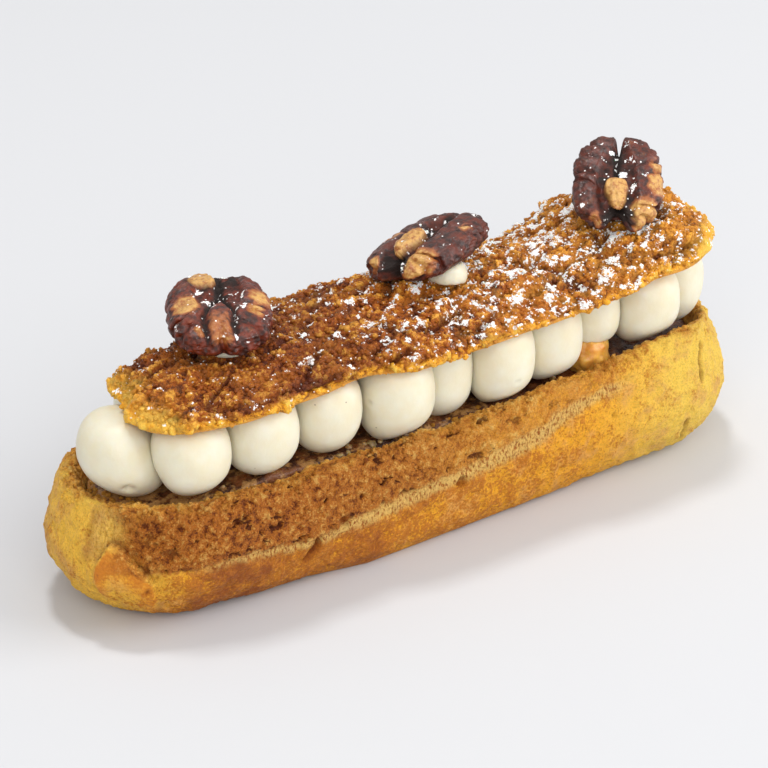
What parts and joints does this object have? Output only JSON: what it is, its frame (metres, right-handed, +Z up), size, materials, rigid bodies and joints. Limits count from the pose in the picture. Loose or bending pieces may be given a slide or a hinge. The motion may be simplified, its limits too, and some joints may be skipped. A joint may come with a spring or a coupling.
{
  "type": "filled eclair",
  "caption": "Split choux eclair with a crackled crust, fruit compote and piped cream drops under its lid, topped with pecan halves and powdered sugar.",
  "frame": {"origin": "middle of the base's footprint, on the table the eclair rests on", "axes": "+X along the eclair from its left end, where the lid is torn short, to its right end; -Y is the front; +Z is up"},
  "size_m": [0.1424, 0.0394, 0.0579],
  "materials": {
    "crust": "baked choux crust, golden ochre with a browner crumbly band along the front",
    "crackle": "dry crackled brown-sugar crust dusted with powdered sugar",
    "compote": "wet, glossy brown fruit compote",
    "fruit": "soft, moist yellow fruit",
    "cream": "smooth whipped cream with a soft sheen",
    "pecan": "dark reddish-brown nut skin rubbed to tan on its edges"
  },
  "bodies": {
    "root": {"base": "crust", "filling": "compote", "fruit": "fruit", "cream_end": "cream", "cream_front_01": "cream", "cream_front_02": "cream", "cream_front_03": "cream", "cream_front_04": "cream", "cream_front_05": "cream", "cream_front_06": "cream", "cream_front_07": "cream", "cream_front_08": "cream", "cream_front_09": "cream", "cream_front_10": "cream", "cream_back_01": "cream", "cream_back_02": "cream", "cream_back_03": "cream", "cream_back_04": "cream", "cream_back_05": "cream", "cream_back_06": "cream", "cream_back_07": "cream", "cream_back_08": "cream", "cream_back_09": "cream", "lid": "crackle", "pecan_1": "pecan", "dab_1": "cream", "pecan_2": "pecan", "dab_2": "cream", "pecan_3": "pecan", "dab_3": "cream"}
  },
  "joints": []
}
